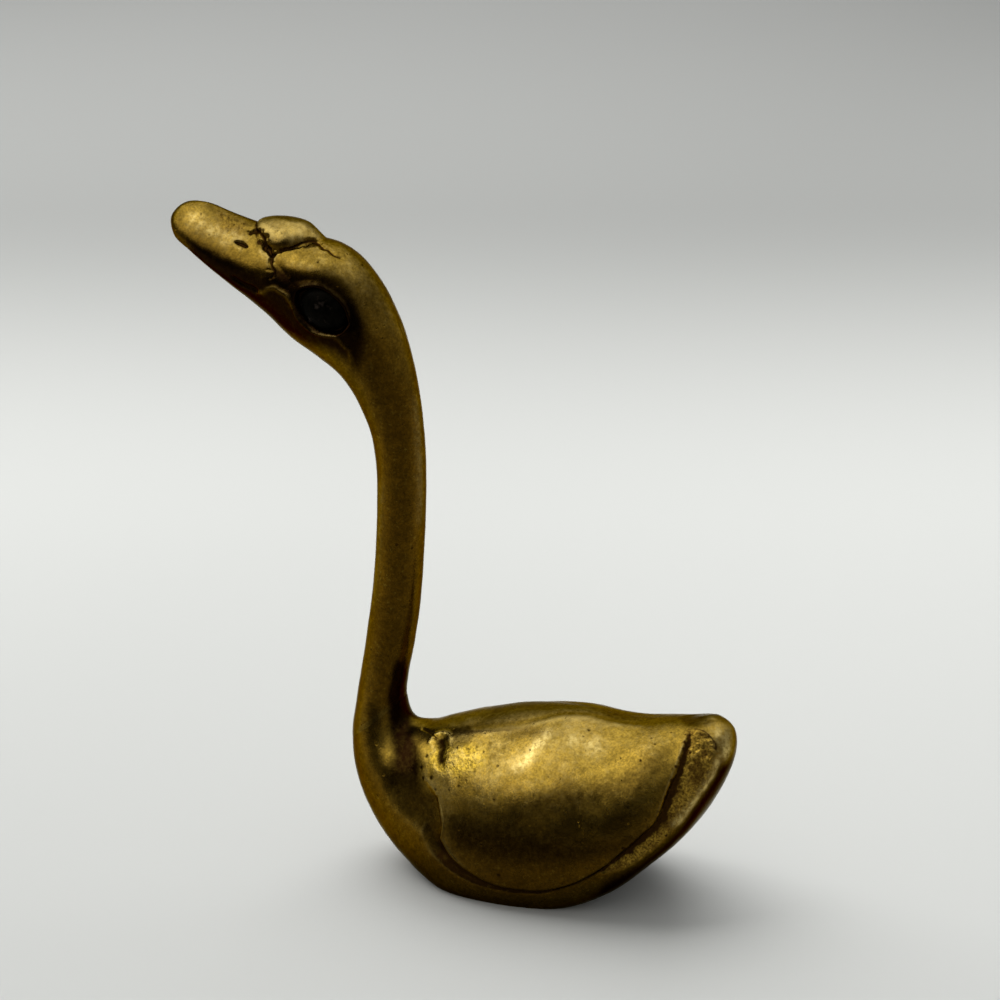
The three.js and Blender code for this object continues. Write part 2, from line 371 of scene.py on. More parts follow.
def newGroup(name, inputs, outputs):
    group = bpy.data.node_groups.new(name, "ShaderNodeTree")
    for socketName, value in inputs.items():
        kind = "NodeSocketVector" if socketName == "Vector" else "NodeSocketFloat"
        group.interface.new_socket(socketName, in_out="INPUT", socket_type=kind).default_value = value
    for socketName in outputs:
        group.interface.new_socket(socketName, in_out="OUTPUT", socket_type="NodeSocketFloat")
    return group, group.nodes.new("NodeGroupInput"), group.nodes.new("NodeGroupOutput")


def put(tree, kind, **settings):
    node = tree.nodes.new(kind)
    for key, value in settings.items():
        setattr(node, key, value)
    return node


def feed(tree, node, **values):
    for key, value in values.items():
        socket = node.inputs[int(key[1:]) if key[1:].isdigit() else key]  # i0, i1 and so on, or by name
        if hasattr(value, "is_output"):
            tree.links.new(value, socket)
        else:
            socket.default_value = value
    return node


def useGroup(tree, group, **values):
    return feed(tree, put(tree, "ShaderNodeGroup", node_tree=group), **values).outputs


def calc(tree, operation, a, b=0.0, c=0.0):
    return feed(tree, put(tree, "ShaderNodeMath", operation=operation), i0=a, i1=b, i2=c).outputs[0]


def times(tree, a, b):
    return calc(tree, "MULTIPLY", a, b)


def most(tree, a, b):
    return calc(tree, "MAXIMUM", a, b)


def splitXYZ(tree, vector):
    return feed(tree, put(tree, "ShaderNodeSeparateXYZ"), i0=vector).outputs


def alongAxis(tree, vector, axis):
    node = put(tree, "ShaderNodeVectorMath", operation="DOT_PRODUCT")
    return feed(tree, node, i0=vector, i1=axis).outputs["Value"]


def remap(tree, value, low, high, toLow=0.0, toHigh=1.0):
    node = put(tree, "ShaderNodeMapRange", interpolation_type="SMOOTHSTEP")
    return feed(tree, node, i0=value, i1=low, i2=high, i3=toLow, i4=toHigh).outputs[0]


def blendColour(tree, factor, a, b, mode="MIX"):
    node = put(tree, "ShaderNodeMix", data_type="RGBA", blend_type=mode)
    return feed(tree, node, i0=factor, i6=a, i7=b).outputs[2]


def speckle(tree, vector, scale, detail=3.0, rough=0.55):
    node = put(tree, "ShaderNodeTexNoise")
    return feed(tree, node, Vector=vector, Scale=scale, Detail=detail, Roughness=rough).outputs[0]


def painted(tree, maskName):
    return put(tree, "ShaderNodeAttribute", attribute_name=maskName).outputs["Fac"]


def newMaterial(name):
    material = bpy.data.materials.new(name)
    material.use_nodes = True
    return material, material.node_tree, material.node_tree.nodes["Principled BSDF"]


# small casting pits: one in several cells holds a pit
def makePits():
    inputs = {"Vector": (0, 0, 0), "Scale": 600, "Share": 0.2, "Size": 0.3}
    group, given, made = newGroup("castingPits", inputs, ["Pit"])
    where, scale, share, widest = given.outputs[0:4]
    noisy = put(group, "ShaderNodeTexNoise")
    wobble = feed(group, noisy, Vector=where, Scale=2600.0, Detail=2.0).outputs["Color"]
    nudge = put(group, "ShaderNodeVectorMath", operation="MULTIPLY_ADD")
    nudged = feed(group, nudge, i0=wobble, i1=(0.00035, 0.00035, 0.00035), i2=where).outputs[0]
    cells = put(group, "ShaderNodeTexVoronoi", feature="F1")
    feed(group, cells, Vector=nudged, Scale=scale, Randomness=1.0)
    tint = feed(group, put(group, "ShaderNodeSeparateColor"), i0=cells.outputs["Color"])
    chosen = calc(group, "LESS_THAN", tint.outputs[0], share)
    size = times(group, widest, remap(group, tint.outputs[1], 0, 1, 0.45, 1.2))
    bowl = calc(group, "SUBTRACT", 1.0, calc(group, "DIVIDE", cells.outputs["Distance"], size))
    pit = times(group, most(group, bowl, 0.0), chosen)
    group.links.new(calc(group, "MINIMUM", times(group, pit, 2.2), 1.0), made.inputs[0])
    return group


# brown deposit: fills creases, gathers in hollows, blotchy over the open surface; soot and painted shade where the
# stain-and-shade mask is set
def makePatina():
    inputs = {"Vector": (0, 0, 0), "Cavity": 0.5, "Crease": 3, "Stain": 0, "Film": 0.5}
    group, given, made = newGroup("brownPatina", inputs, ["Deposit", "Rubbed", "SootAndShade"])
    where, cavity, crease, stain, film = given.outputs[0:5]
    broad = speckle(group, where, 70, 4)
    fine = speckle(group, where, 1100, 4, 0.65)
    spread = calc(group, "SUBTRACT", fine, 0.5)
    uneven = calc(group, "MULTIPLY_ADD", spread, 0.3, cavity)
    deep = remap(group, uneven, 0.58, 0.85)
    line = remap(group, calc(group, "MULTIPLY_ADD", spread, 1.1, crease), 1.15, 0.4)
    dirtAndShade = remap(group, calc(group, "MULTIPLY_ADD", spread, 0.35, stain), 0.1, 0.8)
    haze = times(group, remap(group, broad, 0.42, 0.7), film)
    both = most(group, most(group, deep, line), haze)
    group.links.new(both, made.inputs[0])
    group.links.new(remap(group, uneven, 0.44, 0.2), made.inputs[1])
    group.links.new(dirtAndShade, made.inputs[2])
    return group


castingPits = makePits()
brownPatina = makePatina()

brassLook = {
    "polishedAndTopLight": (0.275, 0.178, 0.025, 1), "aged": (0.113, 0.056, 0.0035, 1), "underPatinaAndShade": (0.096, 0.0535, 0.0045, 1),
    "rubbedAndHighlight": (0.6, 0.45, 0.15, 1), "pale": (0.37, 0.232, 0.032, 1), "filler": (0.5, 0.33, 0.035, 1),
    "deposit": (0.034, 0.0145, 0.0025, 1), "sootAndShade": (0.009, 0.0034, 0.001, 1), "rust": (0.07, 0.028, 0.004, 1),
    "rim": (0.5, 0.44, 0.32, 1), "film": 0.22,
    "smallPits": {"Scale": 330.0, "Share": 0.07, "Size": 0.13},
    "dustPits": {"Scale": 900.0, "Share": 0.15, "Size": 0.22},
    "castPits": {"Scale": 1500.0, "Share": 0.55, "Size": 0.45},
}


def makeBrass(name, look):
    material, tree, shader = newMaterial(name)
    where = put(tree, "ShaderNodeTexCoord").outputs["Object"]
    asCast, braze = painted(tree, "asCast"), painted(tree, "braze")
    facing = splitXYZ(tree, put(tree, "ShaderNodeNewGeometry").outputs["Normal"])
    masks = {"Cavity": painted(tree, "cavity"), "Crease": painted(tree, "crease"), "Stain": painted(tree, "stain")}
    deposit, rubbedAndHighlight, sootAndShade = useGroup(tree, brownPatina, Vector=where, Film=look["film"], **masks)
    smallPits, dustPits, castPits = (
        useGroup(tree, castingPits, Vector=where, **look[kind])[0] for kind in ("smallPits", "dustPits", "castPits"))
    mottle = speckle(tree, where, 160, 5)
    grain = speckle(tree, where, 2600, 3, 0.6)
    roughGrain = speckle(tree, where, 1500, 4, 0.6)
    upward = remap(tree, facing[2], 0.0, 0.75)  # painted top light: upward faces, the near side most, are lighter as where light falls; partly handling wear
    upward = times(tree, upward, remap(tree, facing[1], -0.45, 0.2, 1.0, 0.5))
    paintedTopLight = times(tree, upward, remap(tree, mottle, 0.3, 0.7, 0.75, 1.0))
    # downward faces take the under colour: patina, and painted shade under the bird
    colour = blendColour(tree, remap(tree, facing[2], 0.08, -0.45), look["aged"], look["underPatinaAndShade"])
    colour = blendColour(tree, paintedTopLight, colour, look["polishedAndTopLight"])
    blotch = remap(tree, speckle(tree, where, 700, 5, 0.75), 0.3, 0.7, 0.7, 1.28)
    blotch = times(tree, blotch, remap(tree, grain, 0.32, 0.68, 0.78, 1.24))
    colour = blendColour(tree, 1.0, colour, blotch, "MULTIPLY")
    rubs = times(tree, remap(tree, roughGrain, 0.58, 0.7), 0.45)
    colour = blendColour(tree, rubs, colour, look["polishedAndTopLight"])
    colour = blendColour(tree, times(tree, asCast, 0.7), colour, look["pale"])
    castTone = remap(tree, speckle(tree, where, 2400, 4, 0.7), 0.36, 0.68, 0.42, 1.9)
    colour = blendColour(tree, asCast, colour, blendColour(tree, 1.0, colour, castTone, "MULTIPLY"))
    rustGrain = speckle(tree, where, 420, 5, 0.7)
    rusty = times(tree, asCast, remap(tree, rustGrain, 0.44, 0.6, 0.05, 0.7))
    colour = blendColour(tree, rusty, colour, look["rust"])
    fillerTone = remap(tree, roughGrain, 0.36, 0.62, 0.45, 1.25)
    filled = blendColour(tree, 1.0, look["filler"], fillerTone, "MULTIPLY")
    colour = blendColour(tree, times(tree, braze, 0.75), colour, filled)
    # painted highlights and rubbing on proud tops both take the rubbed colour
    worn = times(tree, painted(tree, "worn"), remap(tree, roughGrain, 0.35, 0.6, 0.3, 1.0))
    rubAndHighlight = most(tree, times(tree, rubbedAndHighlight, times(tree, upward, 0.5)), worn)
    colour = blendColour(tree, rubAndHighlight, colour, look["rubbedAndHighlight"])
    roughPits = times(tree, castPits, most(tree, times(tree, asCast, 0.4), times(tree, braze, 0.25)))
    pits = most(tree, most(tree, smallPits, times(tree, dustPits, 0.7)), roughPits)
    dark = most(tree, deposit, times(tree, pits, 0.8))
    colour = blendColour(tree, dark, colour, look["deposit"])
    colour = blendColour(tree, sootAndShade, colour, look["sootAndShade"])
    tree.links.new(colour, shader.inputs["Base Color"])
    shader.inputs["Specular Tint"].default_value = look["rim"]
    shader.inputs["Metallic"].default_value = 1.0
    smooth = remap(tree, mottle, 0.25, 0.75, 0.21, 0.3)
    coarse = calc(tree, "MULTIPLY_ADD", most(tree, asCast, dark), 0.2, smooth)
    tree.links.new(coarse, shader.inputs["Roughness"])
    raw = most(tree, asCast, times(tree, braze, 0.8))
    coarseness = calc(tree, "MULTIPLY_ADD", raw, 2.2, 0.08)
    height = calc(tree, "MULTIPLY_ADD", roughGrain, coarseness, times(tree, grain, 0.26))
    height = calc(tree, "MULTIPLY_ADD", pits, -1.1, height)
    bump = feed(tree, put(tree, "ShaderNodeBump"), Strength=0.6, Distance=0.00012, Height=height)
    tree.links.new(bump.outputs[0], shader.inputs["Normal"])
    return material


agedBrass = makeBrass("agedBrass", brassLook)

fillerLook = dict(brassLook, aged=(0.12, 0.068, 0.008, 1), polishedAndTopLight=(0.29, 0.2, 0.04, 1))
brazeFiller = makeBrass("brazeFiller", fillerLook)


glassLook = {
    "black": (0.0006, 0.0006, 0.0004, 1), "cloudy": (0.003, 0.0026, 0.0016, 1), "iris": (0.0025, 0.0021, 0.0012, 1),
    "paintedGlint": (0.04, 0.029, 0.023, 1), "sheen": (1, 0.84, 0.62, 1), "specular": 0.022,
}


def makeEyeGlass(look):
    material, tree, shader = newMaterial("eyeGlass")
    where = put(tree, "ShaderNodeTexCoord").outputs["Object"]
    cloud = speckle(tree, where, 700, 4, 0.6)
    colour = blendColour(tree, remap(tree, cloud, 0.35, 0.7), look["black"], look["cloudy"])
    colour = blendColour(tree, painted(tree, "iris"), colour, look["iris"])
    # pale specks on the glass are painted glints
    glinting = remap(tree, speckle(tree, where, 420, 3, 0.5), 0.57, 0.7, 0.0, 0.8)
    colour = blendColour(tree, glinting, colour, look["paintedGlint"])
    tree.links.new(colour, shader.inputs["Base Color"])
    tree.links.new(remap(tree, cloud, 0.3, 0.75, 0.25, 0.5), shader.inputs["Roughness"])
    shader.inputs["Specular IOR Level"].default_value = look["specular"]
    shader.inputs["Specular Tint"].default_value = look["sheen"]
    bump = feed(tree, put(tree, "ShaderNodeBump"), Strength=0.3, Distance=0.00008, Height=cloud)
    tree.links.new(bump.outputs[0], shader.inputs["Normal"])
    return material


eyeGlass = makeEyeGlass(glassLook)
print("materials made")


# slow waves left by hand filing, the same over both castings
def fileWaves(places):
    return 0.13 * lumps(places, 12, 1) + 0.05 * lumps(places, 4.5, 2) + 0.022 * lumps(places, 1.8, 4)


# the dark hollow between the neck's root and the wing, drawn on the photograph, darkened with patina and painted
# shade; it runs over both castings
shoulderHollow = [
    (393, 662), (406, 660), (412, 690), (413, 708), (415, 722), (418, 738), (420, 752), (421, 765), (421, 780),
    (426, 790), (435, 796), (441, 806), (443, 822), (443, 836), (448, 848), (442, 856), (432, 850), (425, 838),
    (417, 826), (407, 818), (397, 808), (389, 796), (385, 784), (387, 770), (391, 755), (389, 738), (387, 720),
    (387, 700), (389, 684),
]

# body casting: lines and outlines are pixels of the photograph, sizes and depths millimetres
wingEdge = [
    (438, 798), (441, 812), (443, 824), (442, 833), (441, 838), (445, 846), (451, 855), (459, 864), (470, 872),
    (485, 881), (505, 887), (530, 890), (550, 889), (570, 884), (590, 875), (607, 864), (619, 854), (631, 844),
    (643, 833), (653, 824), (659, 814), (664, 801), (669, 788), (674, 777), (679, 764), (683, 752), (687, 741),
    (689, 733), (685, 727), (680, 722), (675, 718),
]
panelRim = [
    (690, 732), (699, 731), (706, 733), (713, 740), (716, 748), (714, 760), (710, 777), (703, 788), (695, 799),
    (688, 809), (682, 818), (676, 827), (668, 837), (658, 846), (647, 855), (636, 863), (624, 869), (610, 873),
]
bodyPiece = {
    "rings": 284, "around": 268, "wall": 3.0, "footHole": (13.71, 28, 18), "jointGap": 0.46,
    "core": {"start": 2.4, "end": 9.3, "rings": 40, "around": 96, "floor": 2.2},  # the cored inside, by stations
    "wingRelief": 0.8, "recessDepth": 0.7, "hollowDepth": 0.4, "grooveDepth": 0.65,
    # underTail, wingShade, rearShade, topShade and tailTop: painted shade under the tail, over the wing's lower and
    # rear parts and its top highlight, and on the tail's top; olivePatch is a stain
    "stainsAndShades": [  # outline, how dark, how soft its edge is
        ("underTail", 0.76, 2.4), ("wingShade", 0.56, 3.0), ("rearShade", 0.5, 3.0), ("topShade", 0.38, 2.4),
        ("tailTop", 0.5, 1.6), ("olivePatch", 0.5, 0.7),
    ],
    "topTrim": [(18.5, 8, -0.55), (42.5, 7.5, 0.95), (51, 2, -0.32)],  # where along the back, reach, rise
    "wingEdge": wingEdge,
    "wingTop": [(668, 712), (668, 680), (425, 680), (418, 770)],
    "recess": [(689, 732)] + panelRim[1:] + [(600, 872)] + wingEdge[15:27],
    "panelRim": panelRim,
    "tailFacet": [(676, 716), (712, 719), (708, 726), (700, 730), (690, 729), (682, 723)],
    "channelFoot": [
        (413, 717), (416, 730), (417, 745), (417, 757), (415, 772), (415, 783), (420, 793), (430, 798), (437, 800),
        (441, 812), (442, 824), (442, 833), (445, 843), (452, 855), (466, 867), (481, 876), (500, 884), (520, 888),
        (540, 890), (560, 887),
    ],
    "channelBrink": [
        (395, 700), (394, 720), (395, 738), (397, 753), (393, 768), (389, 782), (388, 793), (397, 810), (409, 821),
        (423, 828), (422, 838), (427, 849), (437, 862), (454, 876), (475, 886), (500, 892), (520, 895), (540, 895),
        (560, 892),
    ],
    "underTail": [
        (716, 766), (738, 756), (736, 775), (716, 806), (690, 838), (670, 860), (642, 880), (612, 898), (590, 906),
        (602, 884), (640, 863), (668, 839), (690, 811), (709, 782),
    ],
    "backGroove": [
        (455, 733), (480, 731), (500, 729), (523, 725), (541, 720), (560, 716), (577, 716), (592, 718), (610, 722),
        (637, 726), (662, 729),
    ],
    "grooveRidge": [(431, 818), (425, 824), (422, 832), (424, 841)],
    "brazePatch": [
        (430, 752), (440, 747), (462, 745), (480, 749), (488, 758), (480, 769), (462, 775), (444, 775), (432, 768),
    ],
    "wingShade": [
        (446, 810), (480, 818), (540, 830), (600, 836), (640, 826), (648, 832), (630, 848), (600, 862), (560, 869),
        (510, 867), (470, 857), (449, 840),
    ],
    "rearShade": [
        (556, 788), (590, 778), (622, 768), (645, 752), (674, 744), (671, 768), (657, 782), (640, 799), (602, 811),
        (530, 815), (502, 806), (524, 797),
    ],
    # painted highlights: spots, a streak on the wing and a streak along the tail's rim
    "worn": [(594, 747, 2.0), (575, 742, 1.6), (723, 738, 2.0), (727, 747, 2.0)],
    "wornStreak": [(519, 766), (530, 757), (540, 744), (547, 734)],
    "rimStreak": [(719, 757), (712, 775), (704, 788), (695, 800), (686, 812), (676, 824)],
    "topShade": [(486, 742), (512, 732), (522, 742), (510, 762), (494, 772), (482, 762)],
    "tailTop": [(672, 716), (690, 714), (717, 715), (713, 727), (702, 731), (688, 731), (678, 724)],
    "olivePatch": [(449, 732), (460, 728), (475, 729), (474, 742), (466, 750), (452, 750)],
    "backRidge": [(488, 779), (512, 766), (530, 757), (543, 739), (552, 728)],
    "nick": [(517, 826), (524, 817)],
    "crater": [(441, 741), (443, 749), (441, 757), (442, 762)],
    "craterRim": [(430, 742), (434, 736), (441, 733), (449, 735), (452, 740)],
    "crack": [(423, 729), (429, 732), (437, 738)],
    "pits": [
        (427, 756, 0.42), (421, 767, 0.5), (423, 778, 0.45), (432, 778, 0.5), (459, 750, 0.36), (470, 750, 0.3),
        (492, 746, 0.34), (474, 764, 0.32), (477, 772, 0.34), (497, 761, 0.24), (461, 786, 0.36), (462, 779, 0.25),
        (451, 791, 0.32), (458, 794, 0.26), (437, 790, 0.32), (466, 797, 0.26), (496, 799, 0.4), (488, 766, 0.2),
        (479, 748, 0.22), (589, 732, 0.34), (616, 762, 0.26), (572, 777, 0.24), (538, 773, 0.24), (536, 795, 0.26),
        (551, 771, 0.2), (553, 730, 0.2), (641, 762, 0.3), (629, 807, 0.26), (500, 874, 0.42),
    ],
}


def makeBody(part):
    bm = rollGoose(0, gooseLines["joint"] + 1.2, part["rings"], part["around"])
    tree = BVHTree.FromBMesh(bm)
    wingLine = layLine(tree, part["wingEdge"])
    refineNear(bm, (wingLine, layLine(tree, part["recess"], closed=True)), 1.1)
    places, normals = vertexPlaces(bm), vertexNormals(bm)
    gap, along = nearLine(places, wingLine, 8.0)
    depth = np.where(insideOutline(places, part["wingEdge"], part["wingTop"]), gap, -gap)
    fade = ease(-4, 6, places[:, 0])  # the wing grows out of the shoulder
    front = (1 - ease(0.1, 0.28, along)) * ease(0.0, 0.04, along)
    rear = ease(0.52, 0.68, along) * (1 - ease(0.93, 0.98, along))
    bottom = ease(0.1, 0.28, along) * (1 - ease(0.52, 0.68, along))
    over = ease(0.93, 0.98, along)  # where the wing's end crosses the tail's top
    crest = ease(24, 38, places[:, 0]) * ease(0.3, 0.75, normals[:, 2])  # no step at the tail's top line
    step = ease(-0.4 - 1.4 * over, 0.45 + 1.4 * over, depth)
    shift = part["wingRelief"] * fade * (1 - crest) * step * (1 - 0.5 * over * (1 - ease(0, 5, depth)))
    for where, reach, rise in part["topTrim"]:
        shift += rise * bell(places[:, 0] - where, reach) * ease(0.3, 0.85, normals[:, 2])
    toFoot, down = lineGap(places, tree, part["channelFoot"], 8.0)
    toBrink, _ = lineGap(places, tree, part["channelBrink"], 8.0)
    inChannel = insideOutline(places, part["channelFoot"], drawLine(part["channelBrink"], 1.2)[::-1])
    slope = toBrink / np.maximum(toFoot + toBrink, 1e-6)  # 0 at the brink, 1 at the foot under the wing's front
    groove = ease(0.44, 0.56, down)  # below the shoulder the hollow narrows to a flat groove
    inGroove = groove * inChannel * (1 - ease(0.93, 1.0, down)) * ease(0, 0.25, 1 - slope)
    cut = inGroove * ease(0, 0.7, slope)
    stuck = inGroove * ease(0, 0.25, slope)
    hollow = insideDepth(places, tree, shoulderHollow)
    below = (np.array(jointMiddle) - places) @ np.array(jointAxis)
    shift -= part["hollowDepth"] * ease(-1.2, 2.6, hollow) * ease(1, 6, below)
    shift -= part["grooveDepth"] * cut * (1 - 0.45 * ease(0.6, 0.85, down))
    shift += (0.16 * front + 0.03 * bottom) * bell(depth - 0.4, 0.3)  # rolled lip
    panel = insideDepth(places, tree, part["recess"])
    tailward = ease(28, 36, places[:, 0])  # the panel runs out under the wing
    ragged = panel + 0.5 * lumps(places, 1.6, 13)
    asCast = ease(-0.4, 0.8, ragged) * (0.4 + 0.6 * tailward)
    outer, rimward = lineGap(places, tree, part["panelRim"])
    sunk = ease(-0.25, 0.65, panel) * tailward * (0.2 + 0.8 * ease(0, 2.6, outer))
    shift -= part["recessDepth"] * sunk
    shift += asCast * (0.16 * lumps(places, 1.3, 3) + 0.12 * lumps(places, 0.6, 5))
    shift -= 0.2 * ease(-0.6, 1.3, insideDepth(places, tree, part["tailFacet"]))
    gap, far = lineGap(places, tree, part["backGroove"])
    above = np.where(insideOutline(places, part["backGroove"], [(662, 680), (455, 680)]), gap, -gap)
    ends = ease(0, 0.15, far) * ease(0, 0.15, 1 - far)
    shift += ends * (0.07 * bell(above + 0.8, 0.9) - 0.08 * bell(above - 0.4, 0.8))  # top edge of the wing
    gap, far = lineGap(places, tree, part["backRidge"])
    shift += 0.12 * bell(gap, 1.7) * np.sin(np.pi * np.clip(far, 0, 1))
    nick, _ = lineGap(places, tree, part["nick"])
    shift -= 0.1 * bell(nick, 0.3)
    gap, far = lineGap(places, tree, part["grooveRidge"])
    shift += 0.12 * bell(gap, 0.5) * np.sin(np.pi * np.clip(far, 0.05, 0.95))
    patch = ease(-1.4, 1.4, insideDepth(places, tree, part["brazePatch"]))
    shift += patch * (0.1 * lumps(places, 1.8, 7) + 0.06 * lumps(places, 0.7, 9)) + fileWaves(places)
    gap, _ = lineGap(places, tree, part["crater"])
    crater = bell(gap * (1 + 0.5 * lumps(places, 0.9, 11)), 1.2)
    gap, _ = lineGap(places, tree, part["craterRim"])
    rim = bell(gap, 0.5)
    crack, _ = lineGap(places, tree, part["crack"])
    shift += 0.16 * rim - 0.35 * crater - 0.15 * bell(crack, 0.2)
    pitted, pitDepth = dropPits(tree, places, part["pits"])
    shift -= 0.1 * pitDepth
    moveVertices(bm, places + normals * shift[:, None])
    crevice = bell(along - 0.72, 0.12)
    wide = 0.5 + 0.75 * crevice
    patch = np.maximum(patch, rim)
    ragged = 1 + 0.9 * lumps(places, 1.1, 15) + 0.6 * lumps(places, 0.5, 21)
    crease = np.abs(depth + wide * 0.8) / wide * ragged + 2.5 * over + 2.5 * (1 - ease(0.5, 0.6, along))
    filth = 1.3 - (1.0 - 0.45 * slope) * stuck + 3 * (stuck == 0)  # dirt in the groove under the wing
    crease = np.clip(np.minimum(crease, filth), 0, 3)
    crease = np.minimum(np.minimum(crease, crack / 0.22), nick / 0.25 + 0.3)
    panelEnd = outer / 0.42 * (1 + 0.9 * lumps(places, 0.8, 23)) + 0.48 + 3 * ease(0.16, 0.32, rimward)
    crease = np.minimum(crease, panelEnd)
    # patina and painted shade in the shoulder hollow, darker higher up
    shaded = (0.52 + 0.22 * ease(15, 22, places[:, 2])) * ease(-1.8, 1.6, hollow)
    stain = np.maximum(np.maximum(0.9 * pitted, 0.76 * crater), shaded)
    stain = np.maximum(stain, 0.4 * ends * ease(-0.4, 1.4, above))
    stain = addStainsAndShades(stain, places, tree, part)
    cavity = cavityMask(bm)
    # painted highlights, which also thin the stain and shade under them
    worn, _ = dropPits(tree, places, part["worn"])
    gap, _ = lineGap(places, tree, part["wornStreak"])
    ridge, _ = lineGap(places, tree, part["rimStreak"])
    worn = np.maximum(np.maximum(0.9 * worn, bell(gap, 1.3)), 0.7 * bell(ridge, 0.7))
    worn = worn * (0.95 + 0.8 * lumps(places, 1.4, 17))
    stain = stain * (1 - 0.8 * np.clip(worn, 0, 1))
    paintMasks(bm, cavity=cavity, crease=crease, stain=stain, asCast=asCast, braze=patch, worn=worn)
    trimAtJoint(bm, -part["jointGap"], False)
    # flat foot, its hole and the cored inside
    bmesh.ops.bisect_plane(bm, geom=everythingIn(bm), plane_co=(0, 0, 0), plane_no=(0, 0, 1), clear_inner=True)
    foot = [e for e in bm.edges if e.is_boundary]
    centre, length, width = part["footHole"]
    rim = bmesh.ops.create_circle(bm, segments=96, radius=1.0)["verts"]
    bmesh.ops.scale(bm, vec=(length / 2, width / 2, 1), verts=rim)
    bmesh.ops.translate(bm, vec=(centre, 0, 0), verts=rim)
    rimEdges = list({e for v in rim for e in v.link_edges})
    bmesh.ops.bridge_loops(bm, edges=foot + rimEdges)
    cored = part["core"]
    core = rollGoose(cored["start"], cored["end"], cored["rings"], cored["around"], -part["wall"])
    floorPlane = {"plane_co": (0, 0, cored["floor"]), "plane_no": (0, 0, 1)}
    bmesh.ops.bisect_plane(core, geom=everythingIn(core), clear_inner=True, **floorPlane)
    ends = [e for e in core.edges if e.is_boundary and max(v.co.z for v in e.verts) > cored["floor"] + 0.1]
    bmesh.ops.holes_fill(core, edges=ends, sides=0)
    bmesh.ops.reverse_faces(core, faces=core.faces)
    coreMesh = bpy.data.meshes.new("bodyCore")
    core.to_mesh(coreMesh)
    core.free()
    outside = set(bm.verts)
    bm.from_mesh(coreMesh)
    bpy.data.meshes.remove(coreMesh)
    coreRim = [e for e in bm.edges if e.is_boundary and e.verts[0] not in outside]
    bmesh.ops.bridge_loops(bm, edges=rimEdges + coreRim)
    finishPiece(bm, "gooseBody", agedBrass, "body_casting")


makeBody(bodyPiece)

# neck and head casting
upperLid = [(294, 292), (302, 288), (315, 287), (326, 291), (336, 299), (344, 308), (347, 316), (348, 325)]
lowerLid = [
    (293, 299), (294, 308), (298, 318), (305, 326), (313, 332), (322, 335), (332, 336), (338, 339), (344, 346),
    (349, 350), (351, 356), (351, 361), (349, 367),
]
headPiece = {
    "rings": 470, "around": 184, "jointGap": 0.46, "denseFrom": 18.5,
    "knob": {"x": -30.4, "halfLength": 6.4, "rearLength": 6.6, "halfWidth": 4.8, "height": 2.5, "above": 106},
    "nape": (110, 4.5, 0.48),  # height, reach, rise
    "lids": [  # line, rise, width, how far rubbed clean, which paints a highlight along it
        ("upperLid", 0.08, 0.28, 0.12), ("lowerLid", 0.24, 0.38, 0.3), ("gape", 0.26, 0.46, 0.42),
    ],
    # billTop and knobTop darken the tops of the bill and the knob; throat is painted shade under the head
    "stainsAndShades": [("billTop", 0.48, 1.0), ("knobTop", 0.48, 1.0), ("throat", 0.42, 2.5)],
    "billGroove": [
        (250, 233), (256, 231), (260, 235), (263, 241), (267, 248), (271, 255), (271, 260), (271, 266), (274, 272),
        (270, 278),
    ],
    "crownGroove": [
        (271, 255), (284, 250), (292, 248), (299, 245), (306, 242), (312, 241), (318, 243), (323, 248), (328, 250),
        (333, 255), (340, 258),
    ],
    "crownHollow": [(301, 246), (308, 242), (313, 242), (319, 246), (312, 248), (304, 249)],
    "nostril": [(235, 242), (241, 244), (247, 247)],
    "brow": [
        (278, 266), (288, 270), (301, 272), (319, 275), (333, 282), (343, 290), (351, 302), (353, 320), (346, 326),
        (347, 316), (343, 307), (336, 299), (326, 291), (315, 287), (302, 288), (293, 292), (284, 288),
    ],
    "eye": upperLid + [(341, 334)] + lowerLid[6::-1],
    "upperLid": upperLid, "lowerLid": lowerLid,
    "gape": [
        (254, 293), (262, 292), (268, 289), (274, 288), (279, 291), (284, 294), (288, 298), (291, 303), (294, 310),
    ],
    "mouth": [(230, 276), (242, 284), (252, 288), (256, 291)],
    "napeMark": [(398, 318), (401, 327), (405, 337)],
    # painted shade over the lower side of the head, under the bill and round the eye
    "lowerHeadShade": [
        (180, 238), (200, 240), (222, 252), (246, 264), (262, 272), (276, 264), (290, 268), (310, 272), (330, 278),
        (346, 290), (362, 310), (368, 340), (360, 370), (345, 360), (330, 352), (300, 340), (260, 312), (220, 285),
    ],
    # painted highlights on the bill and the knob
    "worn": [
        (194, 220, 1.4), (202, 224, 1.6), (209, 228, 1.6), (214, 231, 1.5), (226, 238, 1.4), (236, 236, 1.3),
        (292, 234, 1.5), (299, 233, 1.3),
    ],
    # painted reflections along the neck's edges
    "rimReflections": [
        [(415, 390), (419, 430), (421, 480), (421, 530)],
        [(380, 470), (379, 530), (374, 590), (366, 640), (360, 680)],
    ],
    "throat": [(352, 340), (372, 344), (381, 372), (386, 404), (377, 402), (363, 380)],
    "billTop": [(200, 202), (214, 203), (238, 212), (260, 221), (259, 230), (240, 227), (222, 219), (206, 211)],
    "knobTop": [(268, 216), (286, 213), (303, 217), (320, 231), (309, 229), (297, 225), (281, 221)],
    "scuffedBill": [(215, 210), (228, 211), (243, 219), (248, 228), (240, 238), (228, 238), (219, 226)],
    "pits": [
        (221, 215, 0.22), (229, 218, 0.25), (234, 225, 0.2), (239, 228, 0.25), (228, 231, 0.2), (244, 224, 0.22),
        (282, 233, 0.2), (318, 262, 0.22), (361, 266, 0.3),
    ],
}


